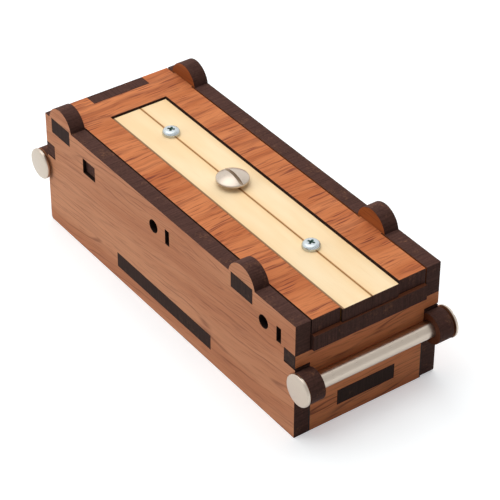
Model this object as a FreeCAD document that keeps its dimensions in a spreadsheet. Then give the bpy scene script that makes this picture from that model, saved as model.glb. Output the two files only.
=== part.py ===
import FreeCAD, Part
import os
import Sketcher
from FreeCAD import Placement, Rotation, Vector

# A long box for papers and keepsakes, slotted together from laser-cut plywood, with a lid that
# slides out at the front. Seen from the front, +X is right, -Y is the end that the lid leaves by,
# +Z is up, and the origin is on the table, under the middle of the box.

# Driving sizes, in millimetres. Everything below is worked out from these.
SIZES = [
    ("box_width", 50.0, "across the outer faces of the side panels"),
    ("box_length", 128.0, "front edge to rear edge of the side panels"),
    ("ply", 5.0, "thickness of the veneered plywood"),
    ("back_ply", 4.4, "thickness of the rear end panel, from a thinner sheet"),
    ("pale_ply", 4.5, "thickness of the two pale lid strips"),
    ("end_height", 29.1, "bottom edge to top edge of the front end panel"),
    ("corner_radius", 1.0, "rounding of the lower corners of the side panels"),
    ("joint_play", 0.05, "gap all round a tab in its mortise"),
    ("slide_play", 0.1, "gap above, below and behind the sliding runner"),
    ("side_play", 0.4, "gap each side of the frame, the runner and the pale strips"),
    ("finger_height", 4.3, "height of the end panels' corner fingers"),
    ("finger_gap", 0.5, "gap under those fingers"),
    ("floor_lift", 4.8, "table to the underside of the floor"),
    ("floor_side_tab", 48.9, "length of the floor's tab in each side panel"),
    ("floor_side_middle", 64.7, "front edge to the middle of that tab"),
    ("floor_end_tab", 20.0, "width of the floor's tab in each end panel"),
    ("hump_radius", 6.3, "radius of the humps along the top edges"),
    ("hump_drop", 1.1, "top edge down to the centre of each hump"),
    ("front_hump", 24.9, "front edge to the middle of the front humps"),
    ("rear_hump", 8.7, "rear edge to the middle of the rear humps"),
    ("frame_tab", 10.0, "length of the frame's tab in each hump"),
    ("frame_back", 13.7, "width of the frame behind the closed end of its slot"),
    ("rear_tab", 20.0, "width of the rear end panel's tab in the frame"),
    ("lid_width", 19.4, "across the two pale strips together"),
    ("strip_overhang", 0.6, "how far the pale strips stand out at the front of the box"),
    ("runner_overhang", 1.2, "how far the runner stands out there"),
    ("seam", 0.12, "gap between the two pale strips"),
    ("seam_middle", 0.4, "middle of the box across to that gap, the knob and the lid screws"),
    ("stop_middle", 24.4, "rear edge to the middle of the stop bar"),
    ("stop_length", 6.5, "length of the stop bar, front to back"),
    ("stop_recess", 1.1, "how far the stop bar's ends lie inside the side faces"),
    ("rail_width", 4.0, "width of the rails that the lid slides on"),
    ("peep_hole", 4.2, "diameter of the round holes in the side panels"),
    ("front_peep", 14.6, "front edge to the front round holes"),
    ("rear_peep", 68.7, "front edge to the rear round holes"),
    ("slit_offset", 7.05, "centre of a round hole forward to the middle of its slit"),
    ("slit_width", 2.0, "width of the slits in the side panels"),
    ("ear_radius", 4.8, "radius of the ears that carry the cross rods"),
    ("rod_gap", 0.2, "gap between a cross rod and the end face of the box"),
    ("axle_height", 19.5, "table to the axis of a cross rod"),
    ("barrel_diameter", 5.0, "outside of a binding post's barrel"),
    ("shaft_play", 0.05, "gap round a barrel in its hole, on the radius"),
    ("thread_diameter", 4.0, "outside of a binding screw's shank"),
    ("thread_play", 0.05, "gap round a shank in its bore, on the radius"),
    ("thread_reach", 8.0, "length of a cross rod's screw inside its barrel"),
    ("tip_gap", 0.4, "tip of a binding screw to the end of its bore"),
    ("barrel_floor", 0.6, "solid metal under the knob's bore, above the head"),
    ("barrel_stop", 0.5, "end of a barrel to the underside of its screw's head"),
    ("lead_chamfer", 0.4, "bevel at the tip of a screw"),
    ("head_diameter", 10.0, "diameter of the binding posts' heads"),
    ("head_rim", 0.6, "straight edge of those heads"),
    ("dome_height", 1.5, "height of the dome on a binding screw's head"),
    ("bevel_height", 0.5, "height of the bevel round a barrel's head"),
    ("bevel_width", 0.8, "width of that bevel, on the radius"),
    ("head_gap", 0.3, "gap under a cross rod's head, on the side that the rod has moved to"),
    ("rod_play", 0.5, "how much more gap there is under its other head"),
    ("slot_cut", 1.1, "width of a screwdriver slot"),
    ("slot_floor", 0.45, "metal left under a screwdriver slot"),
    ("knob_middle", 65.0, "front edge to the axis of the knob"),
    ("knob_lift", 1.5, "pale strips to the underside of the knob's head"),
    ("knob_clearance", 0.3, "gap round the knob's hidden head, on the radius"),
    ("front_screw", 27.0, "front edge to the front lid screw"),
    ("rear_screw", 3.25, "rear end of the runner to the rear lid screw"),
    ("screw_diameter", 3.0, "shank of a lid screw"),
    ("screw_cover", 1.5, "wood left under the tip of a lid screw"),
    ("screw_head", 5.5, "diameter of a lid screw's head"),
    ("screw_head_height", 1.7, "height of a lid screw's head"),
    ("screw_head_round", 1.3, "rounding of a lid screw's head"),
    ("cross_width", 0.8, "width of the cross recess"),
    ("cross_length", 3.0, "length of the cross recess"),
    ("cross_depth", 1.2, "depth of the cross recess"),
]

# Which way the screwdriver slots and the cross recesses happen to point, in degrees.
KNOB_SLOT_TURN = 88.0
ROD_SLOT_TURN = 30.0
CROSS_TURN = 26.0

doc = FreeCAD.newDocument("SlidingLidBox")
sheet = doc.addObject("Spreadsheet::Sheet", "Sizes")
for row, (alias, value, meaning) in enumerate(SIZES, start=1):
    sheet.set(f"A{row}", meaning)
    sheet.set(f"B{row}", str(value))
    sheet.setAlias(f"B{row}", alias)
doc.recompute()

# Places that several pieces share, each written once as an expression on the sheet.
OUTER = "(Sizes.box_width / 2)"
INNER = f"({OUTER} - Sizes.ply)"
END = "(Sizes.box_length / 2)"
FRONT_INSIDE = f"({END} - Sizes.ply)"
REAR_INSIDE = f"({END} - Sizes.back_ply)"
RUNNER_BOTTOM = "(Sizes.end_height + Sizes.slide_play)"
RUNNER_TOP = f"({RUNNER_BOTTOM} + Sizes.ply)"
FRAME_BOTTOM = f"({RUNNER_TOP} + Sizes.slide_play)"
BOX_TOP = f"({FRAME_BOTTOM} + Sizes.ply)"
STRIP_TOP = f"({RUNNER_TOP} + Sizes.pale_ply)"
RUNNER_MIDDLE = f"({RUNNER_BOTTOM} + Sizes.ply / 2)"
FRAME_MIDDLE = f"({FRAME_BOTTOM} + Sizes.ply / 2)"
STOP_HEIGHT = "(Sizes.end_height + Sizes.ply / 2)"
FLOOR_HEIGHT = "(Sizes.floor_lift + Sizes.ply / 2)"
FLOOR_TAB = f"(-{END} + Sizes.floor_side_middle)"
FINGER_BOTTOM = "(Sizes.end_height - Sizes.finger_height)"
STRIP_FRONT = f"(-{END} - Sizes.strip_overhang)"
RUNNER_FRONT = f"(-{END} - Sizes.runner_overhang)"
SLOT_REAR = f"({END} - Sizes.frame_back)"
SLOT_HALF = "(Sizes.lid_width / 2 + Sizes.side_play)"
FRONT_HUMP = f"(-{END} + Sizes.front_hump)"
REAR_HUMP = f"({END} - Sizes.rear_hump)"
STOP_MIDDLE = f"({END} - Sizes.stop_middle)"
STOP_FRONT = f"({STOP_MIDDLE} - Sizes.stop_length / 2)"
RUNNER_REAR = f"({STOP_FRONT} - Sizes.slide_play)"
KNOB = f"(-{END} + Sizes.knob_middle)"
FRONT_SCREW = f"(-{END} + Sizes.front_screw)"
REAR_SCREW = f"({RUNNER_REAR} - Sizes.rear_screw)"
AXLE = f"({END} + Sizes.rod_gap + Sizes.barrel_diameter / 2)"
AXLE_HOLE = "(Sizes.barrel_diameter / 2 + Sizes.shaft_play)"
NEAR_SEAT = f"({OUTER} + Sizes.head_gap)"
FAR_SEAT = f"({NEAR_SEAT} + Sizes.rod_play)"


def new_body(label):
    body = doc.addObject("PartDesign::Body", "Body_" + label)
    body.Label = label
    return body


def new_sketch(body, plane, offset="0", turn=0):
    """A sketch on one of the body's own origin planes, moved along its normal by offset and
    turned in that plane by some degrees."""
    support = next(f for f in body.Origin.OriginFeatures if f.Role == plane)
    sketch = body.newObject("Sketcher::SketchObject", body.Label + "_sketch")
    sketch.AttachmentSupport = [(support, "")]
    sketch.MapMode = "FlatFace"
    sketch.AttachmentOffset = Placement(Vector(0, 0, 0), Rotation(Vector(0, 0, 1), turn))
    sketch.setExpression("AttachmentOffset.Base.z", offset)
    return sketch


def hold(sketch, kind, geometry, point, expression):
    """Tie one coordinate of a point, or a radius, to an expression on the sheet."""
    value = float(sheet.evalExpression(expression))
    if kind == "Radius":
        index = sketch.addConstraint(Sketcher.Constraint(kind, geometry, value))
    else:
        index = sketch.addConstraint(Sketcher.Constraint(kind, -1, 1, geometry, point, value))
    sketch.setExpression(f"Constraints[{index}]", expression)


def at(x, y):
    """The point whose two coordinates are expressions."""
    return Vector(float(sheet.evalExpression(x)), float(sheet.evalExpression(y)), 0)


def rectangle(sketch, left, right, bottom, top):
    corners = [at(left, bottom), at(right, bottom), at(right, top), at(left, top)]
    lines = [
        sketch.addGeometry(Part.LineSegment(corners[i], corners[(i + 1) % 4])) for i in range(4)
    ]
    for i in range(4):
        sketch.addConstraint(Sketcher.Constraint("Coincident", lines[i], 2, lines[(i + 1) % 4], 1))
    for i, direction in enumerate(("Horizontal", "Vertical", "Horizontal", "Vertical")):
        sketch.addConstraint(Sketcher.Constraint(direction, lines[i]))
    hold(sketch, "DistanceX", lines[0], 1, left)
    hold(sketch, "DistanceY", lines[0], 1, bottom)
    hold(sketch, "DistanceX", lines[2], 1, right)
    hold(sketch, "DistanceY", lines[2], 1, top)


def span(sketch, x_middle, x_size, y_middle, y_size, play="0"):
    """A rectangle given by its middle and its size, grown by play on every side."""
    x_half = f"({x_size} / 2 + {play})"
    y_half = f"({y_size} / 2 + {play})"
    rectangle(
        sketch,
        f"{x_middle} - {x_half}",
        f"{x_middle} + {x_half}",
        f"{y_middle} - {y_half}",
        f"{y_middle} + {y_half}",
    )


def circle(sketch, x, y, radius):
    size = float(sheet.evalExpression(radius))
    index = sketch.addGeometry(Part.Circle(at(x, y), Vector(0, 0, 1), size))
    hold(sketch, "DistanceX", index, 3, x)
    hold(sketch, "DistanceY", index, 3, y)
    hold(sketch, "Radius", index, 0, radius)


def pad(body, sketch, length):
    """Material from the sketch along its plane's normal."""
    feature = body.newObject("PartDesign::Pad", body.Label + "_pad")
    feature.Profile = sketch
    feature.setExpression("Length", length)
    doc.recompute()
    return feature


def pocket(body, sketch, length, forward=True):
    """A cut from the sketch, along its plane's normal or, if not forward, against it."""
    before = body.Shape.Volume
    feature = body.newObject("PartDesign::Pocket", body.Label + "_pocket")
    feature.Profile = sketch
    feature.Reversed = forward
    feature.setExpression("Length", length)
    doc.recompute()
    if not body.Shape.Volume < before:
        raise RuntimeError(f"a pocket in {body.Label} cuts nothing")
    return feature


def revolve(body, points, domed=None):
    """Turn a half section about the vertical axis. Its points run anticlockwise from the lowest
    one on the axis. The side that starts at point number domed, if any, is the dome of a head."""
    sketch = new_sketch(body, "XZ_Plane")
    places = [at(x, y) for x, y in points]
    sides = []
    for i, start in enumerate(places):
        end = places[(i + 1) % len(places)]
        if i == domed:
            middle = (end.y**2 - start.x**2 - start.y**2) / (2 * (end.y - start.y))
            ball = Part.Circle(Vector(0, middle, 0), Vector(0, 0, 1), end.y - middle)
            side = Part.ArcOfCircle(ball, ball.parameter(start), ball.parameter(end))
        else:
            side = Part.LineSegment(start, end)
        sides.append(sketch.addGeometry(side))
    for i, side in enumerate(sides):
        following = sides[(i + 1) % len(sides)]
        sketch.addConstraint(Sketcher.Constraint("Coincident", side, 2, following, 1))
        hold(sketch, "DistanceX", side, 1, points[i][0])
        hold(sketch, "DistanceY", side, 1, points[i][1])
        if i == domed:
            sketch.addConstraint(Sketcher.Constraint("PointOnObject", side, 3, -2))
    feature = body.newObject("PartDesign::Revolution", body.Label + "_turned")
    feature.Profile = sketch
    feature.ReferenceAxis = (sketch, ["V_Axis"])
    feature.Angle = 360
    doc.recompute()
    return feature


def place(body, x="0", y="0", z="0", rotation=Rotation()):
    body.Placement = Placement(Vector(0, 0, 0), rotation)
    for axis, expression in (("x", x), ("y", y), ("z", z)):
        body.setExpression(f"Placement.Base.{axis}", expression)


def plank(label, left, right, front, rear, bottom, thickness):
    """A flat board that lies level."""
    body = new_body(label)
    sketch = new_sketch(body, "XY_Plane", bottom)
    rectangle(sketch, left, right, front, rear)
    pad(body, sketch, thickness)
    return body


def side_panel(label, outer_face_first, front_rounded):
    """One long side. Its outline, openings and round lobes are all cut from one sheet: two humps
    over the frame's tabs, and an ear at each end for a cross rod."""
    start = f"-{OUTER}" if outer_face_first else INNER
    body = new_body(label)
    plate = new_sketch(body, "YZ_Plane", start)
    rectangle(plate, f"-{END}", END, "0", BOX_TOP)
    pad(body, plate, "Sizes.ply")

    lobes = new_sketch(body, "YZ_Plane", start)
    for hump in (FRONT_HUMP, REAR_HUMP):
        circle(lobes, hump, f"{BOX_TOP} - Sizes.hump_drop", "Sizes.hump_radius")
    for axle in (f"-{AXLE}", AXLE):
        circle(lobes, axle, "Sizes.axle_height", "Sizes.ear_radius")
    lobed = pad(body, lobes, "Sizes.ply")

    corners = []
    for i, edge in enumerate(lobed.Shape.Edges, start=1):
        box = edge.BoundBox
        if box.ZMax < 1e-6 and box.YLength < 1e-6 and (front_rounded or box.YMin > 0):
            corners.append(f"Edge{i}")
    rounding = body.newObject("PartDesign::Fillet", label + "_corners")
    rounding.Base = (lobed, corners)
    rounding.setExpression("Radius", "Sizes.corner_radius")
    doc.recompute()

    cuts = new_sketch(body, "YZ_Plane", start)
    play = "Sizes.joint_play"
    for hump in (FRONT_HUMP, REAR_HUMP):
        span(cuts, hump, "Sizes.frame_tab", FRAME_MIDDLE, "Sizes.ply", play)
    span(cuts, STOP_MIDDLE, "Sizes.stop_length", STOP_HEIGHT, "Sizes.ply", play)
    span(cuts, FLOOR_TAB, "Sizes.floor_side_tab", FLOOR_HEIGHT, "Sizes.ply", play)
    for peep in ("front_peep", "rear_peep"):
        hole = f"(-{END} + Sizes.{peep})"
        circle(cuts, hole, RUNNER_MIDDLE, "Sizes.peep_hole / 2")
        span(cuts, f"({hole} - Sizes.slit_offset)", "Sizes.slit_width", RUNNER_MIDDLE, "Sizes.ply")
    for axle in (f"-{AXLE}", AXLE):
        circle(cuts, axle, "Sizes.axle_height", AXLE_HOLE)
    finger_low = f"{FINGER_BOTTOM} - Sizes.finger_gap"
    finger_high = f"Sizes.end_height + {play}"
    past_ear = f"{AXLE} + Sizes.ear_radius"
    rectangle(cuts, f"-({past_ear})", f"-{FRONT_INSIDE} + {play}", finger_low, finger_high)
    rectangle(cuts, f"{REAR_INSIDE} - {play}", past_ear, finger_low, finger_high)
    pocket(body, cuts, "Sizes.ply")
    return body


def end_panel(label, inside, height, thickness, facing_front):
    """One end: a wall between the sides, with a finger through each side at its upper corners."""
    start = inside if facing_front else f"-{END}"
    body = new_body(label)
    wall = new_sketch(body, "XZ_Plane", start)
    rectangle(wall, f"-{INNER}", INNER, "0", height)
    pad(body, wall, thickness)
    fingers = new_sketch(body, "XZ_Plane", start)
    rectangle(fingers, f"-{OUTER}", OUTER, FINGER_BOTTOM, "Sizes.end_height")
    pad(body, fingers, thickness)
    return body


def floor_mortise(body, start, thickness):
    """The slot low in an end panel that the floor's end tab fills."""
    cut = new_sketch(body, "XZ_Plane", start)
    span(cut, "0", "Sizes.floor_end_tab", FLOOR_HEIGHT, "Sizes.ply", "Sizes.joint_play")
    pocket(body, cut, thickness)


def binding_barrel(label, length, bore_floor):
    """The barrel half of a binding post: a bevelled head below, a bored barrel standing on it."""
    body = new_body(label)
    bore = "(Sizes.thread_diameter / 2 + Sizes.thread_play)"
    barrel = "Sizes.barrel_diameter / 2"
    head = "Sizes.head_diameter / 2"
    section = [
        ("0", "-Sizes.head_rim - Sizes.bevel_height"),
        (f"{head} - Sizes.bevel_width", "-Sizes.head_rim - Sizes.bevel_height"),
        (head, "-Sizes.head_rim"),
        (head, "0"),
        (barrel, "0"),
        (barrel, length),
        (bore, length),
        (bore, bore_floor),
        ("0", bore_floor),
    ]
    revolve(body, section)
    return body


def binding_screw(label, shank_length, turn):
    """The screw half: a slotted domed head above, and a shank that hangs into the barrel."""
    body = new_body(label)
    shank = "Sizes.thread_diameter / 2"
    head = "Sizes.head_diameter / 2"
    section = [
        ("0", f"-{shank_length}"),
        (f"{shank} - Sizes.lead_chamfer", f"-{shank_length}"),
        (shank, f"-{shank_length} + Sizes.lead_chamfer"),
        (shank, "0"),
        (head, "0"),
        (head, "Sizes.head_rim"),
        ("0", "Sizes.head_rim + Sizes.dome_height"),
    ]
    revolve(body, section, domed=5)
    slot = new_sketch(body, "XY_Plane", "Sizes.slot_floor", turn)
    span(slot, "0", "(2 * Sizes.head_diameter)", "0", "Sizes.slot_cut")
    pocket(body, slot, "Sizes.head_rim + Sizes.dome_height")
    return body


def binding_pair(name, grip, bore_floor, turn):
    """A barrel and its screw, to stand with the inner faces of their heads grip apart."""
    barrel = binding_barrel(f"{name}_barrel", f"({grip} - Sizes.barrel_stop)", bore_floor)
    shank = f"({grip} - {bore_floor} - Sizes.tip_gap)"
    return [barrel, binding_screw(f"{name}_screw", shank, turn)]


def lid_screw(label, y):
    """A pan-headed screw with a cross recess, standing with its head on the pale strips."""
    body = new_body(label)
    shank = "Sizes.screw_diameter / 2"
    head = "Sizes.screw_head / 2"
    tip = "(Sizes.screw_cover - Sizes.ply - Sizes.pale_ply)"
    top = "Sizes.screw_head_height"
    shoulder = "Sizes.screw_head_round * (1 - cos(45))"
    section = [
        ("0", tip),
        (f"{shank} - Sizes.lead_chamfer", tip),
        (shank, f"{tip} + Sizes.lead_chamfer"),
        (shank, "0"),
        (head, "0"),
        (head, f"{top} - Sizes.screw_head_round"),
        (f"{head} - {shoulder}", f"{top} - {shoulder}"),
        (f"{head} - Sizes.screw_head_round", top),
        ("0", top),
    ]
    revolve(body, section)
    for quarter in (0, 90):
        arm = new_sketch(body, "XY_Plane", top, CROSS_TURN + quarter)
        span(arm, "0", "Sizes.cross_length", "0", "Sizes.cross_width")
        pocket(body, arm, "Sizes.cross_depth", forward=False)
    place(body, "Sizes.seam_middle", y, STRIP_TOP)
    return body


def cross_rod(name, y, left_seat, right_seat):
    """One cross rod: a binding post through the ears at one end, free to turn in them. A seat is
    the distance from the middle of the box to the inner face of a head."""
    grip = f"({left_seat} + {right_seat})"
    bore_floor = f"({grip} - Sizes.barrel_stop - Sizes.thread_reach - Sizes.tip_gap)"
    pair = binding_pair(name, grip, bore_floor, ROD_SLOT_TURN)
    for half, x in zip(pair, (f"-{left_seat}", right_seat)):
        place(half, x, y, "Sizes.axle_height", Rotation(Vector(0, 1, 0), 90))
    return pair


# The box: two sides, two ends, a floor and the frame round the lid.
left_side = side_panel("left_side_panel", outer_face_first=True, front_rounded=False)
right_side = side_panel("right_side_panel", outer_face_first=False, front_rounded=True)

front_end = end_panel("front_end_panel", FRONT_INSIDE, "Sizes.end_height", "Sizes.ply", True)
floor_mortise(front_end, FRONT_INSIDE, "Sizes.ply")

rear_top = f"({FRAME_BOTTOM} - Sizes.joint_play)"
rear_end = end_panel("rear_end_panel", REAR_INSIDE, rear_top, "Sizes.back_ply", False)
rear_tongue = new_sketch(rear_end, "XZ_Plane", f"-{END}")
span(rear_tongue, "0", "Sizes.rear_tab", f"({BOX_TOP} / 2)", BOX_TOP)
pad(rear_end, rear_tongue, "Sizes.back_ply")
floor_mortise(rear_end, f"-{END}", "Sizes.back_ply")

floor = plank(
    "floor_panel",
    f"-{INNER} + Sizes.joint_play",
    f"{INNER} - Sizes.joint_play",
    f"-{FRONT_INSIDE} + Sizes.joint_play",
    f"{REAR_INSIDE} - Sizes.joint_play",
    "Sizes.floor_lift",
    "Sizes.ply",
)
side_tabs = new_sketch(floor, "XY_Plane", "Sizes.floor_lift")
span(side_tabs, "0", "Sizes.box_width", FLOOR_TAB, "Sizes.floor_side_tab")
pad(floor, side_tabs, "Sizes.ply")
end_tabs = new_sketch(floor, "XY_Plane", "Sizes.floor_lift")
span(end_tabs, "0", "Sizes.floor_end_tab", "0", "Sizes.box_length")
pad(floor, end_tabs, "Sizes.ply")

frame_half = f"({INNER} - Sizes.side_play)"
frame = plank("top_frame", f"-{frame_half}", frame_half, f"-{END}", END, FRAME_BOTTOM, "Sizes.ply")
frame_tabs = new_sketch(frame, "XY_Plane", FRAME_BOTTOM)
for hump in (FRONT_HUMP, REAR_HUMP):
    span(frame_tabs, "0", "Sizes.box_width", hump, "Sizes.frame_tab")
pad(frame, frame_tabs, "Sizes.ply")
frame_cuts = new_sketch(frame, "XY_Plane", FRAME_BOTTOM)
rectangle(frame_cuts, f"-{SLOT_HALF}", SLOT_HALF, f"-{END} - Sizes.ply", SLOT_REAR)
tongue_half = "(Sizes.rear_tab / 2 + Sizes.joint_play)"
notch_front = f"{REAR_INSIDE} - Sizes.joint_play"
rectangle(frame_cuts, f"-{tongue_half}", tongue_half, notch_front, f"{END} + Sizes.ply")
pocket(frame, frame_cuts, "Sizes.ply")

# Inside: a rail along each wall for the lid to slide on, and the bar that stops it.
rail_bottom = "(Sizes.end_height - Sizes.ply)"
rails = []
for name, near, far in (
    ("left_lid_rail", f"-{INNER}", f"-{INNER} + Sizes.rail_width"),
    ("right_lid_rail", f"{INNER} - Sizes.rail_width", INNER),
):
    rails.append(
        plank(name, near, far, f"-{FRONT_INSIDE}", REAR_INSIDE, rail_bottom, "Sizes.ply")
    )
stop_half = f"({OUTER} - Sizes.stop_recess)"
stop_rear = f"{STOP_FRONT} + Sizes.stop_length"
stop = plank(
    "stop_bar", f"-{stop_half}", stop_half, STOP_FRONT, stop_rear, "Sizes.end_height", "Sizes.ply"
)

# The lid: a runner under the frame, two pale strips in the slot, and the screws that join them.
runner = plank(
    "lid_runner", f"-{frame_half}", frame_half, RUNNER_FRONT, RUNNER_REAR, RUNNER_BOTTOM, "Sizes.ply"
)
screw_hole = "(Sizes.screw_diameter / 2 + Sizes.thread_play)"
runner_cuts = new_sketch(runner, "XY_Plane", RUNNER_BOTTOM)
hidden_head = "(Sizes.head_diameter / 2 + Sizes.knob_clearance)"
circle(runner_cuts, "Sizes.seam_middle", KNOB, hidden_head)
for screw in (FRONT_SCREW, REAR_SCREW):
    circle(runner_cuts, "Sizes.seam_middle", screw, screw_hole)
pocket(runner, runner_cuts, "Sizes.ply")

strips = []
for name, near, far in (
    ("left_lid_strip", "-Sizes.lid_width / 2", "Sizes.seam_middle - Sizes.seam / 2"),
    ("right_lid_strip", "Sizes.seam_middle + Sizes.seam / 2", "Sizes.lid_width / 2"),
):
    strip_rear = f"{SLOT_REAR} - Sizes.side_play"
    strip = plank(name, near, far, STRIP_FRONT, strip_rear, RUNNER_TOP, "Sizes.pale_ply")
    strip_cuts = new_sketch(strip, "XY_Plane", RUNNER_TOP)
    circle(strip_cuts, "Sizes.seam_middle", KNOB, AXLE_HOLE)
    for screw in (FRONT_SCREW, REAR_SCREW):
        circle(strip_cuts, "Sizes.seam_middle", screw, screw_hole)
    pocket(strip, strip_cuts, "Sizes.pale_ply")
    strips.append(strip)
lid_screws = [lid_screw("front_lid_screw", FRONT_SCREW), lid_screw("rear_lid_screw", REAR_SCREW)]

# The knob: a short binding post that clamps nothing, so it turns in the strips. Its lower head
# hides in the runner's round hole, clear of the front end panel when the lid slides over it.
knob_seat = f"({RUNNER_TOP} - Sizes.slide_play)"
knob_top = f"({STRIP_TOP} + Sizes.knob_lift)"
knob_grip = f"({knob_top} - {knob_seat})"
knob = binding_pair("knob", knob_grip, "Sizes.barrel_floor", KNOB_SLOT_TURN)
for half, z in zip(knob, (knob_seat, knob_top)):
    place(half, "Sizes.seam_middle", KNOB, z)

# The cross rods at the two ends. Each is a little longer than the box is wide and can move along
# itself: the front one has moved to the right and the rear one to the left.
rods = cross_rod("front_rod", f"-{AXLE}", NEAR_SEAT, FAR_SEAT)
rods += cross_rod("rear_rod", AXLE, FAR_SEAT, NEAR_SEAT)

doc.recompute()
failed = [o.Name for o in doc.Objects if "Invalid" in o.State or "Error" in o.State]
if failed:
    raise RuntimeError("failed objects: " + ", ".join(failed))

pieces = [left_side, right_side, front_end, rear_end, floor, frame, stop, runner]
pieces += rails + strips + lid_screws + knob + rods
for piece in pieces:
    if piece.Shape.isNull() or not piece.Shape.isValid() or len(piece.Shape.Solids) != 1:
        raise RuntimeError(f"{piece.Label} is not one valid solid")

os.makedirs("parts", exist_ok=True)
for piece in pieces:
    piece.Shape.exportStep(f"parts/{piece.Label}.step")
    box = piece.Shape.BoundBox
    print(
        f"{piece.Label:18s} x {box.XMin:7.2f} {box.XMax:7.2f}  y {box.YMin:7.2f} {box.YMax:7.2f}"
        f"  z {box.ZMin:6.2f} {box.ZMax:6.2f}  volume {piece.Shape.Volume:9.1f}"
    )
print(len(pieces), "pieces written")
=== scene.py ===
# %% [markdown]
# # A sliding-lid box of laser-cut plywood
#
# The box is a long, narrow keepsake box. Two mahogany-faced sides, two ends, a floor and a U-shaped frame slot
# together with tabs. A lid of two pale strips slides out of the frame, and a metal rod crosses each end.
#
# This lesson keeps those places and gives every piece the edges and the finish of the real one.

import math

import bmesh
import bpy
from mathutils import Matrix, Vector


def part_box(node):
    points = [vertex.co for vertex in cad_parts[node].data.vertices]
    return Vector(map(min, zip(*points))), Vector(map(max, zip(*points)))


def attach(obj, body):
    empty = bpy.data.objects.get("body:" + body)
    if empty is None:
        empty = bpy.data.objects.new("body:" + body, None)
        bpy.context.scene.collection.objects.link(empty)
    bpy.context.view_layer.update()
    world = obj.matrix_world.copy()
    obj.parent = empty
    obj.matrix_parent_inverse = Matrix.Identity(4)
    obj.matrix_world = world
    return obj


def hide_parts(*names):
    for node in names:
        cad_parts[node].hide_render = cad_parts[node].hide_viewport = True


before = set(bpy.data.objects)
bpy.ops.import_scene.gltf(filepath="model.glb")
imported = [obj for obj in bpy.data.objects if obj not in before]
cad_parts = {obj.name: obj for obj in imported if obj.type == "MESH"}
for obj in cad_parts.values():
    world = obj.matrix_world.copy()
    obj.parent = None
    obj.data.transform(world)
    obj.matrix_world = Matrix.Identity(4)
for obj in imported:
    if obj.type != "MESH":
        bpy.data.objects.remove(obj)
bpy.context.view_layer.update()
MM = 0.001
X, Y, Z = 0, 1, 2
print("boards and fasteners:", len(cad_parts))

# %% [markdown]
# ## Camera
#
# The photograph looks down on the front left corner, from about the height of a seated person's eyes. The camera
# could be placed by eye, but the box's straight edges give it exactly: their vanishing points fix the direction,
# and the box's known width fixes the distance. A long lens keeps the edges almost parallel.

# %% Camera
CAMERA_PLACE = Vector((-292.40, -415.02, 393.88)) * MM
LENS, SENSOR_WIDTH = 153.44, 36.0  # millimetres
SIGHT_LIMIT = 20.0  # metres

camera_data = bpy.data.cameras.new("camera")
camera_data.sensor_width = SENSOR_WIDTH
camera_data.lens = LENS
camera_data.clip_end = SIGHT_LIMIT
camera = bpy.data.objects.new("camera", camera_data)
bpy.context.scene.collection.objects.link(camera)
looks_along = Vector((0.46790, 0.65082, -0.59792)).normalized()
to_the_right = Vector((0.81290, -0.58240, 0.00220)).normalized()
upwards = to_the_right.cross(looks_along).normalized()
facing_the_box = Matrix((to_the_right, upwards, -looks_along)).transposed().to_4x4()
camera.matrix_world = Matrix.Translation(CAMERA_PLACE) @ facing_the_box
bpy.context.scene.camera = camera
print("camera is", round(camera.matrix_world.translation.length, 3), "m from the box")

# %% [markdown]
# ## Writing a finish as sums
#
# A finish in Blender is a graph of nodes. Wired one by one, a graph of forty nodes is hard to read, so this cell
# makes a small class that wraps the output of a node. Adding or multiplying two of them adds the Math node that
# does it, so that a mask reads like school algebra. A second class holds one material and has one method that
# adds any other node.


# %% Values and finishes
COLOUR_A, COLOUR_B, COLOUR_OUT = 6, 7, 2  # the Mix node's sockets for colours


class Value:
    """The output of a shader node. Sums and products of values are Math nodes."""

    def __init__(self, finish, socket):
        self.finish = finish
        self.socket = socket

    def sum(self, operation, first, second):
        return self.finish.add("ShaderNodeMath", {"operation": operation}, {0: first, 1: second})

    def __add__(self, other):
        return self.sum("ADD", self, other)

    def __sub__(self, other):
        return self.sum("SUBTRACT", self, other)

    def __mul__(self, other):
        return self.sum("MULTIPLY", self, other)

    def __rsub__(self, other):
        return self.sum("SUBTRACT", other, self)

    def __abs__(self):
        return self.sum("ABSOLUTE", self, 0.0)

    __radd__ = __add__
    __rmul__ = __mul__

    def most(self, other):
        return self.sum("MAXIMUM", self, other)

    def least(self, other):
        return self.sum("MINIMUM", self, other)

    def fraction(self):
        return self.sum("FRACT", self, 0.0)

    def root(self):
        return self.sum("SQRT", self, 0.0)

    def between(self, low, high):
        """0 below low, 1 above high, and smooth between."""
        return self.finish.add(
            "ShaderNodeMapRange",
            {"interpolation_type": "SMOOTHSTEP"},
            {"Value": self, "From Min": low, "From Max": high},
        )


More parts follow.
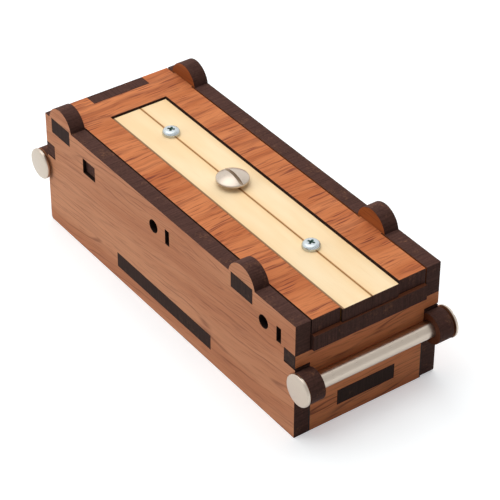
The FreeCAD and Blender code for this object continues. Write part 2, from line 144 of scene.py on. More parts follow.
class Finish:
    """One material with a Principled shader, and the nodes that feed it."""

    def __init__(self, name, **constants):
        self.material = bpy.data.materials.new(name)
        self.material.use_nodes = True
        self.tree = self.material.node_tree
        self.shader = self.tree.nodes["Principled BSDF"]
        self.place = self.add("ShaderNodeTexCoord", output="Object")
        for word, value in constants.items():
            socket = word.replace("_", " ").title().replace("Ior", "IOR")
            self.shader.inputs[socket].default_value = value

    def add(self, kind, settings=None, inputs=None, output=0):
        """Add a node: first its settings, then the numbers or values of its sockets."""
        node = self.tree.nodes.new(kind)
        for name, value in (settings or {}).items():
            setattr(node, name, value)
        for name, value in (inputs or {}).items():
            self.feed(node.inputs[name], value)
        return Value(self, node.outputs[output])

    def feed(self, socket, value):
        if isinstance(value, Value):
            self.tree.links.new(value.socket, socket)
        else:
            socket.default_value = value

    def set(self, name, value):
        """Feed one socket of the Principled shader."""
        self.feed(self.shader.inputs[name], value)

    def axes(self):
        """Where a point is, in millimetres along X, Y and Z."""
        parts = self.tree.nodes.new("ShaderNodeSeparateXYZ")
        self.feed(parts.inputs[0], self.place)
        return [Value(self, parts.outputs[i]) * (1.0 / MM) for i in range(3)]

    def noise(self, x, y, z, detail=2.0, roughness=0.5):
        """Cloudy noise from 0 to 1. The larger its x, y and z grow per millimetre, the finer it is."""
        spot = self.add("ShaderNodeCombineXYZ", None, {"X": x, "Y": y, "Z": z})
        return self.add(
            "ShaderNodeTexNoise",
            None,
            {"Vector": spot, "Scale": 1.0, "Detail": detail, "Roughness": roughness},
        )

    def mix(self, amount, first, second, blend="MIX"):
        """One colour over another, or one multiplied by the other."""
        return self.add(
            "ShaderNodeMix",
            {"data_type": "RGBA", "blend_type": blend},
            {"Factor": amount, COLOUR_A: first, COLOUR_B: second},
            output=COLOUR_OUT,
        )

    def shaded(self, tone, shade):
        """A colour multiplied by a number."""
        grey = self.add("ShaderNodeCombineXYZ", None, {"X": tone, "Y": tone, "Z": tone})
        return self.mix(1.0, shade, grey, "MULTIPLY")

    def bump(self, height, distance, strength):
        """Raise the surface by height times distance, which is in millimetres."""
        self.set(
            "Normal",
            self.add(
                "ShaderNodeBump",
                None,
                {"Height": height, "Distance": distance * MM, "Strength": strength},
            ),
        )


def colour(red, green, blue):
    """A colour as a picture editor shows it, 0 to 255, in the straight-line numbers of light."""

    def straight(v):
        v = v / 255.0
        return v / 12.92 if v <= 0.04045 else ((v + 0.055) / 1.055) ** 2.4

    return (straight(red), straight(green), straight(blue), 1.0)


print("mahogany orange is", [round(v, 3) for v in colour(205, 128, 80)])

# %% [markdown]
# ## Studio
#
# The real box stands on a white sweep. A big soft lamp hangs over it, a little to the rear, and two more fill in
# from the left and the right. So the top gets the most light, the long left side a little less and the front end
# less than half.
#
# Metal shows what stands round it, and lamps this small would be hard bright squares in it. So metal doesn't see
# the lamps. It sees a room that is brighter to the rear, with the soft glow of a soft box above. The camera sees
# plain white, and the wood gets only a little light from the room.
#
# The floor is a middling grey for the light that bounces off it, so that the shaded end stays dark. The camera
# and the metal see it white, with part of the white given by the floor itself, so that the shadow stays pale. Far
# from the box, where the lamps don't reach, all of the white comes from the floor. It lies a hundredth of a
# millimetre under the box, so that the two don't share a plane.

# %% Floor
FLOOR_HALF = 3.0  # metres
FLOOR_HEIGHT = -0.01 * MM
LIT_NEAR, LIT_FAR = 250.0, 900.0  # where the lamps' light fades out, in millimetres
BLACK, WHITE = (0, 0, 0, 1), (1, 1, 1, 1)

sweep = Finish("white_sweep", roughness=0.9, specular_ior_level=0.0, emission_strength=1.0)
ray = sweep.tree.nodes.new("ShaderNodeLightPath")
seen = Value(sweep, ray.outputs["Is Camera Ray"]).most(Value(sweep, ray.outputs["Is Glossy Ray"]))
seen = seen.most(Value(sweep, ray.outputs["Is Transmission Ray"]))
floor_x, floor_y = sweep.axes()[:2]
far = (floor_x * floor_x + floor_y * floor_y).root().between(LIT_NEAR, LIT_FAR)
near_box = sweep.mix(far, (0.76, 0.80, 0.80, 1), BLACK)
glow = sweep.mix(far, (0.42, 0.41, 0.42, 1), WHITE)
sweep.set("Base Color", sweep.mix(seen, (0.60, 0.58, 0.57, 1), near_box))
sweep.set("Emission Color", sweep.mix(seen, BLACK, glow))
floor_mesh = bpy.data.meshes.new("floor")
signs = ((-1, -1), (1, -1), (1, 1), (-1, 1))
corners = [(x * FLOOR_HALF, y * FLOOR_HALF, FLOOR_HEIGHT) for x, y in signs]
floor_mesh.from_pydata(corners, [], [(0, 1, 2, 3)])
floor = bpy.data.objects.new("floor", floor_mesh)
floor.data.materials.append(sweep.material)
bpy.context.scene.collection.objects.link(floor)
print("floor is", 2 * FLOOR_HALF, "m wide")


# %% Lamps
def soft_lamp(name, direction, distance, size, power):
    """A square lamp that looks at the box from a direction, in metres and watts. Metal doesn't see it."""
    data = bpy.data.lights.new(name, "AREA")
    data.size = size
    data.energy = power
    lamp = bpy.data.objects.new(name, data)
    lamp.location = Vector(direction).normalized() * distance
    lamp.rotation_euler = (-Vector(direction)).to_track_quat("-Z", "Y").to_euler()
    lamp.visible_glossy = False
    bpy.context.scene.collection.objects.link(lamp)


soft_lamp("overhead_lamp", (-0.05, 0.26, 0.96), 1.5, 1.8, 22.0)
soft_lamp("left_lamp", (-0.86, 0.40, 0.24), 0.9, 0.8, 4.0)
soft_lamp("right_lamp", (0.92, 0.30, 0.26), 1.5, 1.3, 10.5)

# %% World
world = bpy.data.worlds.new("world")
bpy.context.scene.world = world
world.use_nodes = True
sky = world.node_tree


ROOM_FRONT, ROOM_REAR = 0.82, 1.22  # how bright the room is that metal sees
SOFT_BOX = 1.15
SOFT_BOX_PLACE = Vector((-0.10, 0.20, 0.97)).normalized()
ROOM_LIGHT = 0.16  # what the room gives to the wood


def sky_node(kind, settings=None, inputs=None):
    """Add a node to the world and give back its outputs."""
    node = sky.nodes.new(kind)
    for name, value in (settings or {}).items():
        setattr(node, name, value)
    for name, value in (inputs or {}).items():
        if isinstance(value, bpy.types.NodeSocket):
            sky.links.new(value, node.inputs[name])
        else:
            node.inputs[name].default_value = value
    return node.outputs


def sky_sum(operation, first, second):
    return sky_node("ShaderNodeMath", {"operation": operation}, {0: first, 1: second})[0]


def sky_fade(value, start, end, low, high):
    """A number that goes smoothly from low to high while value goes from start to end."""
    ends = {"From Min": start, "From Max": end, "To Min": low, "To Max": high}
    smooth = {"interpolation_type": "SMOOTHSTEP"}
    return sky_node("ShaderNodeMapRange", smooth, {"Value": value, **ends})[0]


facing = sky_node("ShaderNodeTexCoord")["Generated"]
to_the_rear = sky_node("ShaderNodeSeparateXYZ", None, {0: facing})[1]
room = sky_fade(to_the_rear, -0.5, 0.6, ROOM_FRONT, ROOM_REAR)
dot = {"operation": "DOT_PRODUCT"}
towards_box = sky_node("ShaderNodeVectorMath", dot, {0: facing, 1: SOFT_BOX_PLACE})[1]
soft_box = sky_fade(towards_box, 0.76, 0.98, 0.0, SOFT_BOX)
sky_ray = sky_node("ShaderNodeLightPath")
mirrored = sky_sum("MULTIPLY", sky_ray["Is Glossy Ray"], sky_sum("ADD", room, soft_box))
shown = sky_sum("MAXIMUM", sky_ray["Is Camera Ray"], mirrored)
shown = sky_sum("MAXIMUM", shown, sky_ray["Is Transmission Ray"])
shown = sky_sum("MAXIMUM", shown, ROOM_LIGHT)
sky.links.new(shown, sky.nodes["Background"].inputs["Strength"])
sky.nodes["Background"].inputs["Color"].default_value = WHITE
bpy.context.scene.view_settings.view_transform = "Standard"
print("world nodes:", len(sky.nodes))

# %% [markdown]
# ## Mahogany veneer
#
# The faces of the boards are a thin sheet of mahogany. Its colour drifts in wide bands, growth rings run through
# it as long thin wavy lines, and short dark streaks and open pores lie between them, all along the grain. An
# image could show that, but boards that are cut from one recipe in any direction need no image: noise that is
# stretched along the grain makes the bands, streaks and pores, and the contour lines of a smooth noise make the
# rings.


# %% Mahogany veneer
def mahogany(name, along, across, seed, light, deep, streak, streaks=1.0, rings=0.5, slope=0.0):
    """The veneer of one board. along and across are the axes that its grain follows and crosses."""
    wood = Finish(name, specular_ior_level=0.22)
    mm = wood.axes()
    a, c, n = mm[along], mm[across], mm[3 - along - across] * 0.37 + seed
    c = c + a * slope
    c = c + (wood.noise(a * 0.03, c * 0.06, n, detail=1.0) - 0.5) * 3.4
    c = c + (wood.noise(a * 0.14, c * 0.30, n + 3.0, detail=1.0) - 0.5) * 1.0
    bands = wood.noise(a * 0.010, c * 0.13, n + 5.0, detail=2.0).between(0.32, 0.68)
    ring_height = wood.noise(a * 0.006, c * 0.09, n + 9.0, detail=1.0) * 15.0
    ring = abs(ring_height.fraction() - 0.5).between(0.38, 0.50)
    broken = wood.noise(a * 0.05, c * 0.5, n + 11.0, detail=2.0).between(0.42, 0.62)
    short = wood.noise(a * 0.12, c * 2.1, n + 15.0, detail=1.0).between(0.55, 0.69)
    blush = wood.noise(a * 0.06, c * 0.7, n + 17.0, detail=1.0).between(0.50, 0.72)
    patches = wood.noise(a * 0.07, c * 0.16, n + 19.0, detail=1.0).between(0.36, 0.56)
    pores = wood.noise(a * 0.16, c * 4.0, n + 23.0, detail=1.0).between(0.58, 0.72)
    fibres = wood.noise(a * 0.08, c * 6.0, n + 29.0, detail=2.0)
    shade = wood.mix(bands, light, deep)
    shade = wood.mix(ring * (0.25 + 0.75 * broken) * rings, shade, streak)
    shade = wood.mix(blush * 0.38 * streaks, shade, streak)
    shade = wood.mix(short * (0.25 + 0.75 * patches) * 0.85 * streaks, shade, streak)
    shade = wood.mix(pores * 0.35 * streaks, shade, streak)
    tone = 0.88 + 0.24 * fibres
    wood.set("Base Color", wood.shaded(tone, shade))
    wood.set("Roughness", 0.56 + 0.12 * fibres + 0.10 * pores)
    wood.bump(fibres * 0.3 - pores * 0.8, 0.03, 0.6)
    return wood


side_veneer = mahogany(
    "side_veneer", Y, Z, 3.0, colour(202, 142, 105), colour(185, 121, 85), colour(124, 70, 50),
    streaks=0.36, rings=0.60, slope=0.10,
).material
frame_veneer = mahogany(
    "frame_veneer", X, Y, 27.0, colour(206, 127, 79), colour(184, 103, 58), colour(112, 48, 36),
    streaks=1.0, rings=0.25,
).material
end_wood = mahogany(
    "end_veneer", X, Z, 21.0, colour(224, 142, 93), colour(204, 119, 72), colour(84, 38, 26),
    streaks=0.50, rings=0.70, slope=-0.03,
)
print("veneers:", side_veneer.name, frame_veneer.name, end_wood.material.name)

# %% [markdown]
# ## Smoke stains and painted shade
#
# The inner faces of the sides show only on the humps and the ears. Their veneer is darker than that of the outer
# faces, painted shade over a more orange tone of their own, and round the rods' holes it grows nearly as dark as
# the char, painted shade where the rod and the wall keep the light off. A black line of painted shade, for the
# gap between the parts, lies where each end board meets the sides, and the sliver of the lid's runner that shows
# at the front is stained. The same veneer, with one more brown where a mask says so, does all three.


# %% Smoke stains and painted shade
def stain_and_shade(wood, mask, stain_and_shade_colour):
    """Lay a darker colour over a veneer's colour where the mask is 1: stains in some places, painted shade in
    others.
    """
    bare = Value(wood, wood.shader.inputs["Base Color"].links[0].from_socket)
    wood.set("Base Color", wood.mix(mask, bare, stain_and_shade_colour))
    return wood.material


rod_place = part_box("front_rod_barrel")
rod_y = (rod_place[1].y + rod_place[0].y) / 2 / MM
rod_z = (rod_place[1].z + rod_place[0].z) / 2 / MM
# The inner faces get a darker veneer than the outer ones: painted shade, over a more orange tone of their own.
inner = mahogany(
    "inner_veneer_shaded", Y, Z, 33.0, colour(158, 88, 44), colour(136, 70, 30), colour(84, 42, 24),
    streaks=0.4, rings=0.4,
)
inner_y, inner_z = inner.axes()[1:]
off_y = abs(inner_y) + rod_y
off_z = inner_z - rod_z
from_rod = (off_y * off_y + off_z * off_z).root()
# Round each rod's hole the veneer grows darker: painted shade where the rod and the wall keep the light off.
inner_veneer_shaded = stain_and_shade(inner, (1.0 - from_rod.between(4.0, 12.0)) * 0.7, colour(58, 32, 24))

end_x, _, end_z = end_wood.axes()
# A black line on the end boards where they meet the sides: painted shade of the gap between the parts.
corner_gap_shade = abs(end_x).between(19.4, 19.7) * (1.0 - end_z.between(19.5, 20.0))
end_veneer = stain_and_shade(end_wood, corner_gap_shade, colour(14, 8, 6))

under_frame = mahogany(
    "runner_veneer", X, Y, 41.0, colour(186, 106, 60), colour(168, 90, 46), colour(110, 54, 36),
    streaks=0.6,
)
runner_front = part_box("lid_runner")[0].y / MM
burnt_front = 1.0 - (under_frame.axes()[Y] - runner_front).between(0.6, 2.4)
runner_veneer = stain_and_shade(under_frame, burnt_front * 0.8, colour(66, 38, 30))
print("rods' axes are at y =", round(rod_y, 1), "and z =", round(rod_z, 1), "mm")

# %% [markdown]
# ## Charred edges
#
# A laser burns its way through the board, so every cut edge is dark brown char with a dull sheen, and very fine
# lines run through the thickness where the beam pulsed. Handling rubs some soot off, most at the corners, where a
# paler brown shows. The ends of tabs, the long edges of the frame and the edges of the front end and the floor
# get a darker char, painted shade for edges that face away from the lamps, and the walls of holes a darker one
# still, painted shade inside the holes.


# %% Charred edges
def char(name, seed, dark, rubbed, through):
    """The burnt edge of a board. through is the axis along the board's thickness."""
    edge = Finish(name, specular_ior_level=0.08)
    x, y, z = edge.axes()
    soot = edge.noise(x * 0.22, y * 0.22, z * 0.22 + seed, detail=4.0, roughness=0.65)
    grit = edge.noise(x * 1.5, y * 1.5, z * 1.5 + seed, detail=3.0, roughness=0.6)
    speeds = [0.12 if i == through else 2.4 for i in range(3)]
    pulses = edge.noise(x * speeds[0], y * speeds[1], z * speeds[2] + seed, detail=1.0)
    worn = soot.between(0.54, 0.72) * grit.between(0.35, 0.65)
    shade = edge.mix(worn * 0.7, dark, rubbed)
    tone = grit + pulses
    edge.set("Base Color", edge.shaded(tone, shade))
    edge.set("Roughness", 0.60 + 0.2 * grit)
    edge.bump(grit * 0.5 + pulses * 0.5, 0.05, 0.6)
    return edge


# Each edge finish comes in two: the plain char and a darker one, painted shade for edges that face away from the
# lamps.
charred, shaded_char = [], []
for through, letter in enumerate("xyz"):
    first = 3.0 * through
    rim = char("charred_edge_" + letter, first, colour(74, 50, 44), colour(116, 80, 60), through)
    tab = char("shaded_tab_" + letter, first + 5.0, colour(50, 36, 32), colour(76, 56, 44), through)
    charred.append(rim.material)
    shaded_char.append(tab.material)
# The walls of holes get the darkest char: painted shade inside the holes.
hole_shade_char = char("hole_shade_char", 7.0, colour(34, 24, 21), colour(60, 40, 28), X).material
print("edge finishes:", [m.name for m in charred + shaded_char + [hole_shade_char]])

# %% [markdown]
# ## Pale birch
#
# The lid's two strips are bare birch plywood, smooth and almost without figure. The beam leaves a thin line of
# toasted wood along every cut, so the strips grow a little browner towards their edges, and a brown line runs
# along the seam. Along the left edge a darker band is painted shade of the gap beside the frame. Their long edges
# are toasted rather than charred, with soot where they reach the front.


# %% Pale birch
def birch(name, seam, edges):
    """The face of a pale strip, toasted along the seam and the outer edges, with a brown line along the seam and
    a dark band along its left edge that is painted shade of the gap beside the frame.
    """
    wood = Finish(name, specular_ior_level=0.35)
    x, y = wood.axes()[:2]
    clouds = wood.noise(x * 0.12, y * 0.03, 4.0, detail=2.0)
    fibres = wood.noise(x * 2.4, y * 0.12, 8.0, detail=3.0, roughness=0.6)
    shade = wood.mix(clouds.between(0.3, 0.7), colour(254, 229, 188), colour(251, 218, 170))
    shade = wood.mix(fibres.between(0.5, 0.8) * 0.30, shade, colour(238, 204, 152))
    from_seam = abs(x - seam)
    from_cut = from_seam.least(edges - abs(x))
    shade = wood.mix((1.0 - from_cut.between(0.0, 2.6)) * 0.30, shade, colour(238, 190, 122))
    # A brown line along the seam, stronger than the toast of the other cuts.
    shade = wood.mix((1.0 - from_seam.between(0.2, 0.55)) * 0.75, shade, colour(164, 104, 50))
    # The strip's left edge grows dark brown: painted shade of the gap between the strip and the frame.
    left_gap_shade = 1.0 - (x + edges).between(0.45, 0.75)
    wood.set("Base Color", wood.mix(left_gap_shade * 0.85, shade, colour(104, 58, 28)))
    wood.set("Roughness", 0.55 + 0.1 * fibres)
    wood.bump(fibres, 0.01, 0.4)
    return wood.material


strip_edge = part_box("right_lid_strip")[1].x / MM
seam_x = (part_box("left_lid_strip")[1].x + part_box("right_lid_strip")[0].x) / 2 / MM
pale_birch = birch("pale_birch", seam_x, strip_edge)
strip_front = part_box("left_lid_strip")[0].y / MM
toast = char("toasted_birch", 9.0, colour(186, 126, 62), colour(206, 150, 84), Z)
burnt_end = 1.0 - (toast.axes()[Y] - strip_front).between(0.4, 1.2)
toasted = stain_and_shade(toast, burnt_end, colour(52, 36, 32))
print("the seam is at x =", round(seam_x, 2), "and the outer edge at", round(strip_edge, 2), "mm")

# %% [markdown]
# ## Boards
#
# Every wooden piece is one outline cut through one board. Blender has an object for exactly that: a flat curve,
# filled, thickened and with its edges eased. So each board's outline is read from the model's own flat face and
# becomes such a curve, with 0.07 mm taken off every edge, where light catches it. The curve is then turned into a
# mesh, and its faces are sorted: those that lie flat get the veneer, the walls of holes get a darker char that is
# painted shade, and the edges get char, where the long edges can have a finish of their own.


# %% Reading an outline
LEVEL = 0.99  # a face is flat when its normal follows the board's thickness this closely
SAME_HEIGHT = 1e-6  # metres


def outlines(node, axis):
    """The closed outlines of a board's flat face, as lists of corners in the board's plane."""
    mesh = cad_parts[node].data
    flat = max(v.co[axis] for v in mesh.vertices)
    u, v = [i for i in range(3) if i != axis]

    def corner(index):
        place = mesh.vertices[index].co
        return (round(place[u] / MM, 4), round(place[v] / MM, 4))

    sides = {}
    for face in mesh.polygons:
        if face.normal[axis] < LEVEL or abs(face.center[axis] - flat) > SAME_HEIGHT:
            continue
        ring = [corner(i) for i in face.vertices]
        for start, end in zip(ring, ring[1:] + ring[:1]):
            if (end, start) in sides:
                del sides[(end, start)]
            elif start != end:
                sides[(start, end)] = True
    following = {start: end for start, end in sides}
    loops = []
    while following:
        start, spot = following.popitem()
        loop = [start]
        while spot != loop[0]:
            loop.append(spot)
            spot = following.pop(spot)
        loops.append(loop)
    return loops


for node, axis in (("left_side_panel", X), ("top_frame", Z)):
    print(node, "has outlines of", [len(loop) for loop in outlines(node, axis)], "corners")

# %% Cutting a board
EASED = 0.07  # millimetres taken off every edge
WELD = 1e-7  # points closer than this, in metres, are one
HIGH, LOW, EDGE, LONG_EDGE, HOLE = range(5)  # a board's finishes


def inside_a_hole(holes, u, v):
    """Whether a point of the board's plane lies in or on one of its holes."""
    reach = EASED + 0.02
    for hole in holes:
        across, up = [p[0] for p in hole], [p[1] for p in hole]
        if min(across) - reach < u < max(across) + reach and min(up) - reach < v < max(up) + reach:
            return True
    return False


def board(node, axis, body, high_face, low_face, edges=charred, long_edge=None):
    """Cut a board again from its outline, with eased edges, and give it its finishes."""
    edge = edges[axis]
    low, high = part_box(node)
    thickness = (high[axis] - low[axis]) / MM
    curve = bpy.data.curves.new(node + "_outline", "CURVE")
    curve.dimensions = "2D"
    curve.fill_mode = "BOTH"
    curve.extrude = thickness / 2 - EASED
    curve.bevel_depth = EASED
    curve.bevel_resolution = 1
    curve.offset = -EASED
    loops = outlines(node, axis)
    outside = max(loops, key=lambda loop: max(p[0] for p in loop))
    holes = [loop for loop in loops if loop is not outside]
    for loop in loops:
        line = curve.splines.new("POLY")
        line.points.add(len(loop) - 1)
        for point, (u, v) in zip(line.points, loop):
            point.co = (u, v, 0, 1)
        line.use_cyclic_u = True
    pattern = bpy.data.objects.new(node + "_pattern", curve)
    mesh = bpy.data.meshes.new_from_object(pattern)
    bpy.data.objects.remove(pattern)
    u, v = [i for i in range(3) if i != axis]
    half_way = (low[axis] + high[axis]) / 2
    for vertex in mesh.vertices:
        place = [0.0, 0.0, 0.0]
        place[u] = vertex.co.x * MM
        place[v] = vertex.co.y * MM
        place[axis] = half_way + vertex.co.z * MM
        vertex.co = place
    shape = bmesh.new()
    shape.from_mesh(mesh)
    bmesh.ops.remove_doubles(shape, verts=shape.verts, dist=WELD)
    bmesh.ops.dissolve_limit(
        shape, angle_limit=math.radians(0.1), verts=shape.verts, edges=shape.edges
    )
    bmesh.ops.recalc_face_normals(shape, faces=shape.faces)
    shape.to_mesh(mesh)
    shape.free()
    mesh.materials.clear()
    for finish in (high_face, low_face, edge, long_edge or edge, hole_shade_char):
        mesh.materials.append(finish)
    for part in mesh.polygons:
        part.use_smooth = True
        leans = part.normal[axis]
        if abs(leans) > LEVEL:
            part.material_index = HIGH if leans > 0 else LOW
        elif inside_a_hole(holes, part.center[u] / MM, part.center[v] / MM):
            part.material_index = HOLE
        else:
            sideways = abs(part.normal[u]) > abs(part.normal[v])
            part.material_index = LONG_EDGE if sideways else EDGE
    mesh.set_sharp_from_angle(angle=math.radians(50))
    piece = bpy.data.objects.new(node.replace("_panel", "") + "_board", mesh)
    bpy.context.scene.collection.objects.link(piece)
    even = piece.modifiers.new("even_shading", "WEIGHTED_NORMAL")
    even.keep_sharp = True
    even.weight = 100
    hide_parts(node)
    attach(piece, body)
    return piece


boards = [
    board("left_side_panel", X, "box", inner_veneer_shaded, side_veneer),
    board("right_side_panel", X, "box", side_veneer, inner_veneer_shaded),
    board("front_end_panel", Y, "box", end_veneer, end_veneer, shaded_char),
    board("rear_end_panel", Y, "box", end_veneer, end_veneer),
    board("floor_panel", Z, "box", frame_veneer, frame_veneer, shaded_char),
    board("top_frame", Z, "box", frame_veneer, frame_veneer, charred, shaded_char[Z]),
    board("stop_bar", Z, "box", frame_veneer, frame_veneer),
    board("left_lid_rail", Z, "box", frame_veneer, frame_veneer),
    board("right_lid_rail", Z, "box", frame_veneer, frame_veneer),
    board("lid_runner", Z, "lid", runner_veneer, frame_veneer),
    board("left_lid_strip", Z, "lid", pale_birch, pale_birch, charred, toasted),
    board("right_lid_strip", Z, "lid", pale_birch, pale_birch, charred, toasted),
]
print("boards:", len(boards), "with", sum(len(b.data.polygons) for b in boards), "faces")

# %% [markdown]
# ## Nickel and zinc
#
# The rods and the knob are nickel-plated, slightly warm and satin rather than mirror-bright. The two small lid
# screws are zinc-plated, which is bluer. Metal has no colour of its own apart from what it reflects, so both
# finishes are a bright tint with a roughness that fine drawing marks vary.


# %% Metals
def plating(name, tint, rough, marks_along):
    """A plated metal with fine marks drawn along one axis."""
    metal = Finish(name, metallic=1.0)
    place = metal.axes()
    speeds = [5.0, 5.0, 5.0]
    speeds[marks_along] = 0.1
    marks = metal.noise(*(p * s for p, s in zip(place, speeds)), detail=2.0)
    blotches = metal.noise(*(p * 0.5 for p in place), detail=3.0)
    tone = 0.90 + 0.12 * marks + 0.08 * blotches
    metal.set("Base Color", metal.shaded(tone, tint))
    metal.set("Roughness", rough - 0.06 + 0.12 * marks + 0.06 * blotches)
    metal.bump(marks, 0.001, 0.5)
    return metal.material


nickel = plating("satin_nickel", colour(195, 182, 168), 0.27, X)
zinc = plating("bright_zinc", colour(192, 200, 203), 0.24, Z)
# The walls of the cross recess get a mottled dark green: painted shade in the recess.
recess_shade = Finish("recess_shadow", metallic=0.6, roughness=0.6)
recess_mottle = recess_shade.noise(*(p * 2.0 for p in recess_shade.axes()))
recess_shade.set("Base Color", recess_shade.mix(recess_mottle, colour(70, 100, 88), colour(104, 134, 122)))
recess = recess_shade.material
print("metals:", nickel.name, zinc.name, recess.name)

# %% [markdown]
# ## Turned fasteners
#
# Heads, barrels and shanks are all turned on a lathe, so each is one profile swept round an axis. The
# screwdriver slot and the cross recess are then milled away with a cutter, which leaves its own finish on the
# walls that it cuts; in the cross recess that finish is a dark green, painted shade of the recess.


# %% Lathe and cutter
STEPS_ROUND = 72


def turned(name, profile, metal):
    """Sweep a profile of (radius, height) points, in millimetres, round the Z axis."""
    shape = bmesh.new()
    points = [shape.verts.new((r * MM, 0, z * MM)) for r, z in profile]
    lines = [shape.edges.new(pair) for pair in zip(points, points[1:])]
    bmesh.ops.spin(
        shape,
        geom=points + lines,
        axis=(0, 0, 1),
        cent=(0, 0, 0),
        steps=STEPS_ROUND,
        angle=math.tau,
    )
    bmesh.ops.remove_doubles(shape, verts=shape.verts, dist=WELD)
    bmesh.ops.recalc_face_normals(shape, faces=shape.faces)
    return new_piece(name, shape, metal)


def new_piece(name, shape, finish):
    """Turn a finished bmesh into an object of the scene."""
    mesh = bpy.data.meshes.new(name)
    shape.to_mesh(mesh)
    shape.free()
    mesh.materials.append(finish)
    piece = bpy.data.objects.new(name, mesh)
    bpy.context.scene.collection.objects.link(piece)
    return piece


def mill(piece, cutter):
    """Take the cutter's shape out of the piece."""
    cut = piece.modifiers.new("cut", "BOOLEAN")
    cut.operation = "DIFFERENCE"
    cut.solver = "EXACT"
    cut.material_mode = "TRANSFER"
    cut.object = cutter
    bpy.context.view_layer.update()
    milled = piece.evaluated_get(bpy.context.evaluated_depsgraph_get())
    result = bpy.data.meshes.new_from_object(milled)
    piece.modifiers.clear()
    piece.data = result
    bpy.data.objects.remove(cutter)


def arc(centre_r, centre_z, radius, start, end, steps):
    """Points of an arc in a profile, from one angle to another, in degrees from straight out."""
    angles = [math.radians(start + (end - start) * i / steps) for i in range(steps + 1)]
    return [(centre_r + radius * math.cos(a), centre_z + radius * math.sin(a)) for a in angles]


def set_in_place(piece, place, node, body):
    """Smooth a fastener, move it to its seat and let it stand for its node."""
    piece.data.transform(place)
    for part in piece.data.polygons:
        part.use_smooth = True
    piece.data.set_sharp_from_angle(angle=math.radians(35))
    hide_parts(node)
    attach(piece, body)


print("an arc of 90 degrees:", [(round(r, 2), round(z, 2)) for r, z in arc(0, 0, 1, 0, 90, 2)])

# %% Binding screws
HEAD, RIM, DOME = 5.0, 0.6, 1.5  # a binding head: radius, straight edge, dome above it
BEVEL = 0.5  # height of the bevel round a barrel's head
SHANK, BARREL, BORE = 2.0, 2.5, 2.05  # radii
ROUNDED = 0.1  # what is taken off a head's corners
SLOT_HALF, SLOT_FLOOR = 0.55, 0.45
KNOB_SLOT_TURN, ROD_SLOT_TURN = 88.0, 30.0  # degrees


def blade(reach, foot_reach, wide, foot_wide, bottom, top, finish):
    """A cutter like a screwdriver's tip: a slab that may narrow towards its foot."""
    shape = bmesh.new()
    rings = []
    for r, w, height in ((reach, wide, top), (foot_reach, foot_wide, bottom)):
        corners = [(-r, -w), (r, -w), (r, w), (-r, w)]
        rings.append([shape.verts.new((x * MM, y * MM, height * MM)) for x, y in corners])
    upper, lower = rings
    shape.faces.new(upper)
    shape.faces.new(lower[::-1])
    for i in range(4):
        j = (i + 1) % 4
        shape.faces.new((upper[j], upper[i], lower[i], lower[j]))
    bmesh.ops.recalc_face_normals(shape, faces=shape.faces)
    return new_piece("blade", shape, finish)


def binding_screw(name, shank, slot_turn):
    """A slotted, domed head with its shank, standing on its seat at height 0."""
    ball = (HEAD**2 + DOME**2) / (2 * DOME)
    lean = math.degrees(math.asin((HEAD - 0.12) / ball))
    dome = arc(0, RIM + DOME - ball, ball, 90 - lean, 90, 24)
    profile = [(0, -shank), (SHANK - 0.4, -shank), (SHANK, 0.4 - shank), (SHANK, 0)]
    profile += [(HEAD - ROUNDED, 0), (HEAD, ROUNDED), (HEAD, RIM - ROUNDED)] + dome
    piece = turned(name, profile, nickel)
    cutter = blade(6, 6, SLOT_HALF, SLOT_HALF, SLOT_FLOOR, 4, nickel)
    cutter.rotation_euler.z = math.radians(slot_turn)
    mill(piece, cutter)
    return piece


def binding_barrel(name, length):
    """A flat head with a bevelled rim below height 0, and a barrel standing on it."""
    face = -RIM - BEVEL
    profile = [(0, face), (HEAD - 1.0, face), (HEAD - 0.75, face + 0.06)]
    profile += arc(HEAD - 0.5, -RIM + 0.1, 0.5, -70, 0, 6)
    profile += [(HEAD, -ROUNDED), (HEAD - ROUNDED, 0), (BARREL, 0), (BARREL, length - 0.2)]
    profile += [(BARREL - 0.2, length), (BORE, length), (BORE, 1), (0, 1)]
    return turned(name, profile, nickel)


def middle(node, axis):
    """The middle of a node's box along one axis, in metres."""
    low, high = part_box(node)
    return (low[axis] + high[axis]) / 2


print("a binding head is", 2 * HEAD, "mm wide and", RIM + DOME, "mm high")

# %% The knob
knob_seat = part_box("knob_screw")[1].z - (RIM + DOME) * MM
knob_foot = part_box("knob_barrel")[0].z + (RIM + BEVEL) * MM
knob_post = (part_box("knob_barrel")[1].z - knob_foot) / MM
knob_shank = (knob_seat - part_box("knob_screw")[0].z) / MM
on_axis = (middle("knob_screw", X), middle("knob_screw", Y))
set_in_place(
    binding_screw("knob_head", knob_shank, KNOB_SLOT_TURN),
    Matrix.Translation((*on_axis, knob_seat)),
    "knob_screw", "knob",
)
set_in_place(
    binding_barrel("knob_post", knob_post),
    Matrix.Translation((*on_axis, knob_foot)),
    "knob_barrel", "knob",
)
print("the knob's head stands at", round(knob_seat / MM, 2), "mm on a post of", round(knob_post, 2))

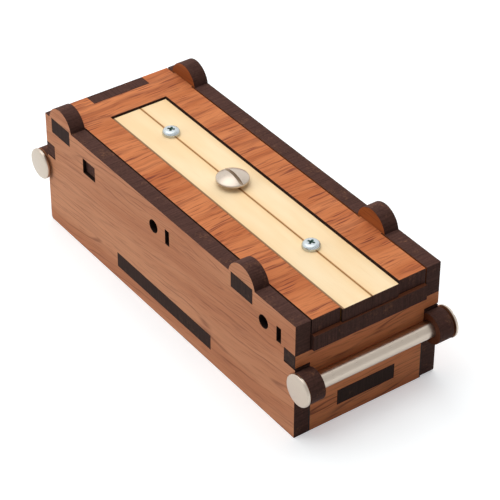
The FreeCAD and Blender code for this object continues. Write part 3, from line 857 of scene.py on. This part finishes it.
# %% The cross rods
along_the_rod = Matrix.Rotation(math.radians(90), 4, "Y")
for end in ("front_rod", "rear_rod"):
    axis_y, axis_z = middle(end + "_screw", Y), middle(end + "_screw", Z)
    right_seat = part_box(end + "_screw")[1].x - (RIM + DOME) * MM
    left_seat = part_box(end + "_barrel")[0].x + (RIM + BEVEL) * MM
    shank = (right_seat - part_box(end + "_screw")[0].x) / MM
    post = (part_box(end + "_barrel")[1].x - left_seat) / MM
    set_in_place(
        binding_screw(end + "_head", shank, ROD_SLOT_TURN),
        Matrix.Translation((right_seat, axis_y, axis_z)) @ along_the_rod,
        end + "_screw", end,
    )
    set_in_place(
        binding_barrel(end + "_post", post),
        Matrix.Translation((left_seat, axis_y, axis_z)) @ along_the_rod,
        end + "_barrel", end,
    )
    print(end, "heads sit at x =", round(left_seat / MM, 2), "and", round(right_seat / MM, 2), "mm")


# %% Lid screws
PAN_HEAD, PAN_HEIGHT, PAN_ROUND = 2.75, 1.7, 1.3
PAN_SHANK, PAN_REACH = 1.5, 8


def pan_screw(name, turn):
    """A pan-headed screw with a cross recess, standing with its head on height 0."""
    profile = [(0, -PAN_REACH), (1.1, -PAN_REACH), (PAN_SHANK, 0.4 - PAN_REACH), (PAN_SHANK, 0)]
    profile += [(PAN_HEAD - ROUNDED, 0), (PAN_HEAD, ROUNDED)]
    profile += arc(PAN_HEAD - PAN_ROUND, PAN_HEIGHT - PAN_ROUND, PAN_ROUND, 0, 80, 12)
    profile += [(0.8, PAN_HEIGHT), (0, PAN_HEIGHT + 0.01)]
    piece = turned(name, profile, zinc)
    for quarter in (0, 90):
        cutter = blade(1.6, 0.35, 0.45, 0.22, 0.55, 2.3, recess)
        cutter.rotation_euler.z = math.radians(turn + quarter)
        mill(piece, cutter)
    return piece


# At some turns, 40 degrees among them, the cutter leaves two points in one place and the mesh isn't closed.
for node, turn in (("front_lid_screw", 26.0), ("rear_lid_screw", 41.0)):
    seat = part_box(node)[1].z - PAN_HEIGHT * MM
    place = Matrix.Translation((middle(node, X), middle(node, Y), seat))
    set_in_place(pan_screw(node + "_zinc", turn), place, node, "lid")
    print(node, "stands at", round(seat / MM, 2), "mm")
